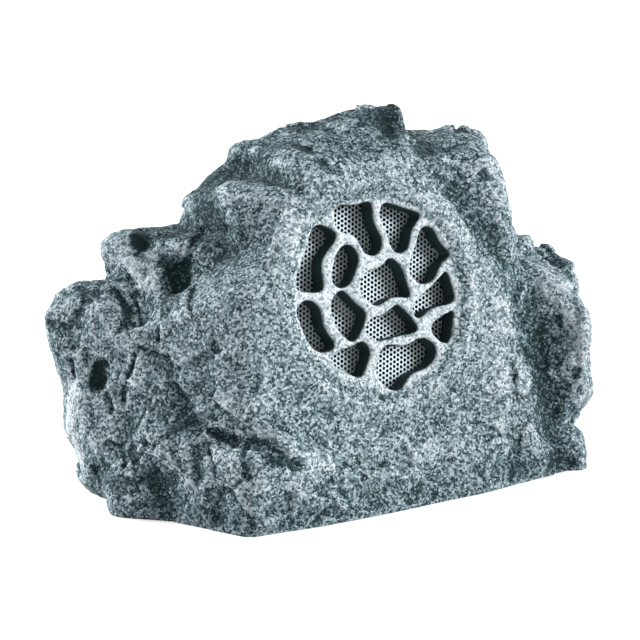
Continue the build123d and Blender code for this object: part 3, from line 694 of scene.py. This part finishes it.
def makeRockShell():
    noise.seed_set(rockShell["seed"])
    gland = (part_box("gland_cap")[0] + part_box("gland_cap")[1]) / 2
    gland.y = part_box("gland_body")[0].y + rockShell["glandReach"]
    mesh = nodes["rock_shell"].data.copy()
    bm = bmesh.new()
    bm.from_mesh(mesh)
    bmesh.ops.remove_doubles(bm, verts=bm.verts, dist=1e-6)
    bm.to_mesh(mesh)
    bm.free()
    rock = bpy.data.objects.new("rock_skin", mesh)
    bpy.context.scene.collection.objects.link(rock)
    grid = rock.modifiers.new("grid", "REMESH")
    grid.mode = "VOXEL"
    grid.voxel_size = rockShell["voxel"]
    applyModifiers(rock)
    print("rock regridded,", len(rock.data.vertices), "vertices")

    skin = outerSkin(rock.data, gland)
    coords = readCoords(rock.data)
    webBack = depthBehindFace("perforated_grille")[0]
    rise = faceHeight(coords)
    inVent = (rise > rockShell["ventSlack"] - webBack) & (rise < rockShell["ventSlack"])
    inVent &= faceRadius(coords) < rockShell["ventWithin"]
    inPocket = glandRadius(coords, gland) < rockShell["pocketWall"]
    inPocket &= coords[:, 1] > gland.y - rockShell["pocketDepth"]
    wornSkin = skin & ~inVent & ~inPocket & (coords[:, 2] > rockShell["footEdge"])
    before = coords.copy()
    normals = readNormals(rock.data)
    addGroup(rock, "rubbed", rubWeights(rock.data, wornSkin))
    addGroup(rock, "worn", wornSkin.astype(float))
    addGroup(rock, "rib", inVent.astype(float))
    smoothGroup(rock, "worn", rockShell["edgeRounds"])
    smoothGroup(rock, "rubbed", rockShell["rubRounds"])
    smoothGroup(rock, "rib", rockShell["ribRounds"])
    applyModifiers(rock)
    print("rock worn, skin of", int(skin.sum()), "vertices")

    grabSkin(rock.data, skin)
    paintedShade, pitShade = carveSkin(rock.data, skin, gland)
    followInside(rock.data, skin, before, normals)
    addGroup(rock, "toneWeight", skinTone(rock.data, skin, paintedShade, pitShade))
    print("rock carved with", len(rockPits), "pits and", len(rockStrokes), "strokes")

    thin = rock.modifiers.new("thin", "DECIMATE")
    thin.ratio = min(1.0, rockShell["triangles"] / (2 * len(rock.data.polygons)))
    applyModifiers(rock)
    for polygon in rock.data.polygons:
        polygon.use_smooth = True
    toneIndex = rock.vertex_groups["toneWeight"].index
    tone = rock.data.attributes.new("tone", "FLOAT", "POINT")
    for vert in rock.data.vertices:
        for member in vert.groups:
            if member.group == toneIndex:
                tone.data[vert.index].value = member.weight
    rock.vertex_groups.clear()
    print("rock thinned to", len(rock.data.polygons), "faces")
    return rock


rock = makeRockShell()
wear(rock, graniteMaterial())
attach(rock, "cabinet")
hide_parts("rock_shell")


# Bright steel: thinly lacquered punched sheet, faint orange peel, its bars mirror the white room softly
punchedSheet = {
    "holeRadius": 1.36 * mm,
    "pitch": 3.6 * mm,
    "turn": -11,  # degrees that the columns of holes lean in the sheet
    "thickness": 0.6 * mm,
    "sides": 12,
    "holesWithin": 73.5 * mm,
    "radius": 75.8 * mm,
    "rimSides": 96,
    "weld": 0.05 * mm,
    "holeEdge": 0.75 * mm,  # longer than any edge round a hole
    "light": "#cddae0",
    "dark": "#b4c3ca",
    "metal": 0.7,
    "peel": 1.4 * mm,
}


def intoFace(bm, depth):
    turn = Matrix((Vector((1, 0, 0)), faceUp, faceOut)).transposed().to_4x4()
    place = Matrix.Translation(face["ventCentre"] - faceOut * depth) @ turn
    bmesh.ops.transform(bm, matrix=place, verts=bm.verts)


def meshPiece(bm, name, smooth=True):
    bmesh.ops.recalc_face_normals(bm, faces=bm.faces)
    mesh = bpy.data.meshes.new(name)
    bm.to_mesh(mesh)
    bm.free()
    for polygon in mesh.polygons:
        polygon.use_smooth = smooth
    piece = bpy.data.objects.new(name, mesh)
    bpy.context.scene.collection.objects.link(piece)
    return piece


def makePunchedSheet():
    sheet = punchedSheet
    pitch = sheet["pitch"]
    column = pitch * math.sqrt(3) / 2
    bm = bmesh.new()
    outline = bmesh.ops.create_circle(bm, segments=sheet["sides"], radius=pitch / math.sqrt(3))["verts"]
    for vert in outline:
        if round(math.degrees(math.atan2(vert.co.y, vert.co.x)) / 30) % 2:
            vert.co *= math.cos(math.radians(30))  # the middles of the hexagon's sides
    bmesh.ops.create_circle(bm, segments=sheet["sides"], radius=sheet["holeRadius"])
    bmesh.ops.bridge_loops(bm, edges=bm.edges[:])
    cell = bm.verts[:] + bm.edges[:] + bm.faces[:]
    columns = int(sheet["holesWithin"] / column)
    for number in range(-columns, columns + 1):
        half = math.sqrt(sheet["holesWithin"] ** 2 - (number * column) ** 2)
        shift = number % 2 * pitch / 2
        low = math.ceil((-half - shift) / pitch)
        high = math.floor((half - shift) / pitch)
        copied = bmesh.ops.duplicate(bm, geom=cell)["geom"]
        verts = [part for part in copied if isinstance(part, bmesh.types.BMVert)]
        bmesh.ops.translate(bm, verts=verts, vec=(number * column, shift + low * pitch, 0))
        bmesh.ops.spin(bm, geom=copied, angle=0, steps=high - low, axis=(0, 0, 1), dvec=(0, pitch, 0),
                       use_duplicate=True)
    first = [part for part in cell if isinstance(part, bmesh.types.BMVert)]
    bmesh.ops.delete(bm, geom=first, context="VERTS")
    bmesh.ops.remove_doubles(bm, verts=bm.verts, dist=sheet["weld"])
    border = [e for e in bm.edges if e.is_boundary and e.calc_length() > sheet["holeEdge"]]
    rim = set(bmesh.ops.create_circle(bm, segments=sheet["rimSides"], radius=sheet["radius"])["verts"])
    border += [e for e in bm.edges if e.verts[0] in rim]  # in the mesh's own order, the same each run
    bmesh.ops.triangle_fill(bm, edges=border, use_beauty=True)
    bmesh.ops.recalc_face_normals(bm, faces=bm.faces)
    front = bm.faces[:]
    if sum(f.normal.z for f in front) < 0:
        bmesh.ops.reverse_faces(bm, faces=front)
    back = bmesh.ops.extrude_face_region(bm, geom=front)["geom"]
    moved = [part for part in back if isinstance(part, bmesh.types.BMVert)]
    bmesh.ops.translate(bm, verts=moved, vec=(0, 0, -sheet["thickness"]))
    bmesh.ops.rotate(bm, verts=bm.verts, matrix=Matrix.Rotation(math.radians(sheet["turn"]), 3, "Z"))
    intoFace(bm, depthBehindFace("perforated_grille")[0])
    return meshPiece(bm, "punched_sheet", smooth=False)


def sheetMaterial():
    material, tree = newMaterial("lacquered_bright_steel")
    coords = addNode(tree, "TexCoord").outputs["Object"]
    peel = addNode(tree, "TexNoise", {"Vector": coords, "Scale": 1 / punchedSheet["peel"], "Detail": 3})
    colour = addNode(tree, "ValToRGB", {"Fac": peel.outputs["Fac"]},
                     [(0.35, punchedSheet["dark"]), (0.65, punchedSheet["light"])])
    gloss = addNode(tree, "MapRange", {0: peel.outputs["Fac"], 3: 0.52, 4: 0.66})
    bump = addNode(tree, "Bump", {"Strength": 0.15, "Distance": 0.1 * mm, "Height": peel.outputs["Fac"]})
    shader = addNode(tree, "BsdfPrincipled", {
        "Base Color": colour.outputs[0], "Roughness": gloss.outputs[0], "Metallic": punchedSheet["metal"],
        "Normal": bump.outputs[0]})
    addNode(tree, "OutputMaterial", {"Surface": shader.outputs[0]})
    return material


sheet = makePunchedSheet()
wear(sheet, sheetMaterial())
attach(sheet, "cabinet")
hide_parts("perforated_grille")
print("sheet punched,", len(sheet.data.polygons), "faces")


# Cone suspension: a half-roll rubber edge and a corrugated cloth spider between the frame and the cone
edgeRoll = {
    "innerLip": 59 * mm,
    "rollInner": 63 * mm,
    "rollRadius": 4.25 * mm,
    "outerLip": 76 * mm,
    "rubber": 0.8 * mm,
    "runs": 16,
    "turns": 120,
}
clothSpider = {
    "bore": 13.6 * mm,
    "innerFlat": 17.1 * mm,
    "outerFlat": 40.3 * mm,
    "edge": 47.3 * mm,
    "cloth": 0.8 * mm,
    "wave": 1.2 * mm,
    "waves": 6,
    "runs": 8,  # along each wave
    "turns": 120,
}


def spunPiece(name, outline, turns):
    bm = bmesh.new()
    verts = [bm.verts.new((radius, 0, -depth)) for radius, depth in outline]
    edges = [bm.edges.new(pair) for pair in zip(verts, verts[1:] + verts[:1])]
    bmesh.ops.spin(bm, geom=verts + edges, angle=2 * math.pi, steps=turns, axis=(0, 0, 1), use_merge=True)
    bmesh.ops.remove_doubles(bm, verts=bm.verts, dist=0.01 * mm)
    intoFace(bm, 0)
    return meshPiece(bm, name)


def makeEdgeRoll():
    roll = edgeRoll
    glued = depthBehindFace("surround")[1]  # the roll's back lies on the flange and the cone
    middle = roll["rollInner"] + roll["rollRadius"]
    lipFront = glued - roll["rubber"]
    front = [(roll["innerLip"], lipFront)]
    back = [(roll["innerLip"], glued)]
    first = math.asin(roll["rubber"] / roll["rollRadius"])
    for k in range(roll["runs"] + 1):
        turn = first + (math.pi - 2 * first) * k / roll["runs"]
        outer = roll["rollRadius"]
        front.append((middle - outer * math.cos(turn), glued - outer * math.sin(turn)))
        turn = math.pi * k / roll["runs"]
        inner = outer - roll["rubber"]
        back.append((middle - inner * math.cos(turn), glued - inner * math.sin(turn)))
    front.append((roll["outerLip"], lipFront))
    back.append((roll["outerLip"], glued))
    return spunPiece("rubber_edge", front + back[::-1], roll["turns"])


def makeClothSpider():
    cloth = clothSpider
    seat = depthBehindFace("spider")[1]
    count = cloth["waves"] * cloth["runs"]
    crest = [(cloth["bore"], 0)]
    for k in range(count + 1):
        radius = cloth["innerFlat"] + (cloth["outerFlat"] - cloth["innerFlat"]) * k / count
        crest.append((radius, cloth["wave"] * (1 - math.cos(math.pi * k / cloth["runs"])) / 2))
    crest.append((cloth["edge"], 0))
    back = [(radius, seat - rise) for radius, rise in crest]
    front = [(radius, seat - cloth["cloth"] - rise) for radius, rise in reversed(crest)]
    return spunPiece("cloth_spider", back + front, cloth["turns"])


# A ring baked in place; the share falling from its inner edge to its outer edge is worked out, but nothing
# uses it
def bendRing(piece, inner, outer):
    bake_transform(piece)
    share = ease(outer, inner, faceRadius(readCoords(piece.data)))


rubberEdge = makeEdgeRoll()
bendRing(rubberEdge, edgeRoll["rollInner"], edgeRoll["rollInner"] + 2 * edgeRoll["rollRadius"])
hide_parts("surround")
spiderCloth = makeClothSpider()
bendRing(spiderCloth, clothSpider["innerFlat"], clothSpider["outerFlat"])
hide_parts("spider")
print("cone suspension made")


# Finishes of the working parts: two colours, grain size, roughness, relief, wire turns or threads as bands
finishes = {
    "black_painted_steel": {  # thin satin paint, faint orange peel
        "wornBy": ["basket"], "dark": "#0c0d0e", "light": "#17181a", "grain": 1.6 * mm, "roughness": 0.42,
        "metal": 0.0, "relief": 0.06 * mm},
    "black_moulded_plastic": {  # spark-eroded mould skin, dull and slightly grey
        "wornBy": ["grille_ring", "tweeter_housing", "base_panel", "coil_bobbin", "gland_body", "gland_cap",
                   "gland_locknut"],
        "dark": "#131416", "light": "#212326", "grain": 0.7 * mm, "roughness": 0.55, "metal": 0.0,
        "relief": 0.10 * mm},
    "matt_rubber": {  # soft black, nearly no shine
        "wornBy": ["driver_gasket", "gland_seal", "rubber_edge"], "dark": "#0f0f0f", "light": "#1b1b1a",
        "grain": 2.5 * mm, "roughness": 0.72, "metal": 0.0, "relief": 0.05 * mm},
    "coated_cone_paper": {  # felted fibres under a thin grey-black coat
        "wornBy": ["cone"], "dark": "#141416", "light": "#2b2b2e", "grain": 1.1 * mm, "roughness": 0.62,
        "metal": 0.0, "relief": 0.18 * mm},
    "enamelled_copper_wire": {  # close turns of reddish wire under clear enamel
        "wornBy": ["coil_winding"], "dark": "#6b2f16", "light": "#c0713c", "grain": 3.0 * mm,
        "roughness": 0.30, "metal": 1.0, "relief": 0.25 * mm, "bands": 0.9 * mm},
    "fine_copper_wire": {  # the voice coil's thinner wire, on its leaning former
        "wornBy": ["voice_coil"], "dark": "#6b2f16", "light": "#b96a38", "grain": 2.0 * mm, "roughness": 0.34,
        "metal": 1.0, "relief": 0.10 * mm, "bands": 0.5 * mm, "lean": 90 - face["lean"]},
    "resin_dipped_cloth": {  # amber cotton, its threads just showing
        "wornBy": ["cloth_spider"], "dark": "#8a6428", "light": "#c9a055", "grain": 1.0 * mm,
        "roughness": 0.70, "metal": 0.0, "relief": 0.15 * mm, "bands": 1.0 * mm, "lean": 0},
    "zinc_plated_steel": {  # bright grey plating with a faint cloudy bloom
        "wornBy": ["top_plate", "yoke", "tweeter_post", "driver_screws", "base_screws", "board_screws"],
        "dark": "#9a9b98", "light": "#c6c7c4", "grain": 2.2 * mm, "roughness": 0.32, "metal": 1.0,
        "relief": 0.03 * mm},
    "ground_ferrite": {  # charcoal ceramic, grinding lines across it
        "wornBy": ["magnet"], "dark": "#1d1e20", "light": "#36383b", "grain": 0.8 * mm, "roughness": 0.50,
        "metal": 0.0, "relief": 0.08 * mm, "bands": 0.7 * mm, "lean": 0},
    "coated_silk": {  # fine weave under a soft black coat
        "wornBy": ["tweeter_plate"], "dark": "#111113", "light": "#232327", "grain": 0.5 * mm,
        "roughness": 0.48, "metal": 0.0, "relief": 0.06 * mm, "bands": 0.4 * mm, "lean": 0},
    "glass_fibre_laminate": {  # green lacquer over woven glass
        "wornBy": ["tag_strip", "crossover_board"], "dark": "#22401f", "light": "#3f6a36", "grain": 1.8 * mm,
        "roughness": 0.36, "metal": 0.0, "relief": 0.05 * mm, "bands": 1.2 * mm, "lean": 90},
    "bright_brass": {  # stamped blades, slightly tarnished
        "wornBy": ["solder_tags"], "dark": "#a8873f", "light": "#d9bd72", "grain": 1.2 * mm,
        "roughness": 0.28, "metal": 1.0, "relief": 0.03 * mm},
    "wrapped_film": {  # yellow tape, its layers as faint lines
        "wornBy": ["capacitor"], "dark": "#b8851a", "light": "#d9a62c", "grain": 4.0 * mm, "roughness": 0.30,
        "metal": 0.0, "relief": 0.05 * mm, "bands": 1.6 * mm},
    "cement_ceramic": {  # chalky white body
        "wornBy": ["resistor"], "dark": "#c9c7bf", "light": "#eceae3", "grain": 1.0 * mm, "roughness": 0.80,
        "metal": 0.0, "relief": 0.15 * mm},
    "green_terminal_plastic": {  # clear moulded green
        "wornBy": ["terminal_block"], "dark": "#0f5a2c", "light": "#1b7a3e", "grain": 1.5 * mm,
        "roughness": 0.45, "metal": 0.0, "relief": 0.05 * mm},
    "pvc_sheath": {  # extruded, a dull sheen along it
        "wornBy": ["driver_lead"], "dark": "#121212", "light": "#1f1f20", "grain": 2.0 * mm,
        "roughness": 0.48, "metal": 0.0, "relief": 0.05 * mm},
}


def finishMaterial(name, finish):
    material, tree = newMaterial(name)
    coords = addNode(tree, "TexCoord").outputs["Object"]
    grain = addNode(tree, "TexNoise", {"Vector": coords, "Scale": 1 / finish["grain"], "Detail": 3})
    pattern = grain.outputs["Fac"]
    if "bands" in finish:
        lean = math.radians(finish.get("lean", 0))
        tilted = addNode(tree, "Mapping", {"Vector": coords, "Rotation": (lean, 0, 0)})
        scale = math.pi / (10 * finish["bands"])
        bands = addNode(tree, "TexWave", {"Vector": tilted.outputs[0], "Scale": scale, "Distortion": 0.6},
                        bands_direction="Z")
        pattern = addNode(tree, "Mix", {0: 0.6, 2: pattern, 3: bands.outputs["Fac"]}).outputs[0]
    colour = addNode(tree, "ValToRGB", {"Fac": pattern}, [(0.3, finish["dark"]), (0.7, finish["light"])])
    gloss = addNode(tree, "MapRange", {
        0: pattern, 3: finish["roughness"] - 0.07, 4: finish["roughness"] + 0.07})
    bump = addNode(tree, "Bump", {"Strength": 0.5, "Distance": finish["relief"], "Height": pattern})
    shader = addNode(tree, "BsdfPrincipled", {
        "Base Color": colour.outputs[0], "Roughness": gloss.outputs[0], "Metallic": finish["metal"],
        "Normal": bump.outputs[0]})
    addNode(tree, "OutputMaterial", {"Surface": shader.outputs[0]})
    return material


ownPieces = {"rubber_edge": rubberEdge, "cloth_spider": spiderCloth}
for name, finish in finishes.items():
    material = finishMaterial(name, finish)
    for worn in finish["wornBy"]:
        wear(ownPieces.get(worn) or nodes[worn], material)
print("working parts finished with", len(finishes), "materials")


# Studio: white floor that keeps a soft shadow, white world for the camera, a key from the right, a rim behind
studio = {
    "floorSize": 30,
    "floorColour": "#c8c8c8",
    "floorLift": 0.62,
    "worldColour": "#ffffff",
    "worldLight": 0.30,
    "lamps": {
        "key": {"azimuth": 45, "elevation": 26, "spread": 30, "strength": 3.0},
        "rim": {"azimuth": -140, "elevation": 22, "spread": 14, "strength": 3.8},
    },
}


def makeStudio():
    bm = bmesh.new()
    bmesh.ops.create_grid(bm, x_segments=1, y_segments=1, size=studio["floorSize"])
    mesh = bpy.data.meshes.new("floor")
    bm.to_mesh(mesh)
    bm.free()
    floor = bpy.data.objects.new("floor", mesh)
    bpy.context.scene.collection.objects.link(floor)
    material, tree = newMaterial("white_floor")
    rays = addNode(tree, "LightPath")
    shown = addNode(tree, "Math", {0: rays.outputs["Is Camera Ray"], 1: rays.outputs["Is Glossy Ray"]},
                    operation="MAXIMUM")
    lift = addNode(tree, "Math", {0: shown.outputs[0], 1: studio["floorLift"]}, operation="MULTIPLY")
    glow = addNode(tree, "Emission", {"Strength": lift.outputs[0]})
    paint = addNode(tree, "BsdfDiffuse", {"Color": linear(studio["floorColour"])})
    both = addNode(tree, "AddShader", {0: paint.outputs[0], 1: glow.outputs[0]})
    addNode(tree, "OutputMaterial", {"Surface": both.outputs[0]})
    wear(floor, material)

    world = bpy.data.worlds.new("studio_world")
    world.use_nodes = True
    tree = world.node_tree
    tree.nodes.clear()
    rays = addNode(tree, "LightPath")
    seen = addNode(tree, "Math", {0: rays.outputs["Is Camera Ray"], 1: rays.outputs["Is Glossy Ray"]},
                   operation="MAXIMUM")
    seen = addNode(tree, "Math", {0: seen.outputs[0], 1: rays.outputs["Is Transmission Ray"]},
                   operation="MAXIMUM")
    strength = addNode(tree, "MapRange", {0: seen.outputs[0], 3: studio["worldLight"], 4: 1.0})
    sky = addNode(tree, "Background", {
        "Color": linear(studio["worldColour"]), "Strength": strength.outputs[0]})
    addNode(tree, "OutputWorld", {"Surface": sky.outputs[0]})
    bpy.context.scene.world = world

    for name, lamp in studio["lamps"].items():
        away = direction(lamp["azimuth"], lamp["elevation"])
        light = bpy.data.lights.new(name + "_lamp", "SUN")
        light.angle = math.radians(lamp["spread"])
        light.energy = lamp["strength"]
        obj = bpy.data.objects.new(name + "_lamp", light)
        obj.location = Vector(photoView["target"]) + away
        obj.rotation_euler = away.to_track_quat("Z", "Y").to_euler()
        bpy.context.scene.collection.objects.link(obj)
    bpy.context.scene.view_settings.view_transform = "Standard"


makeStudio()
print("studio set")
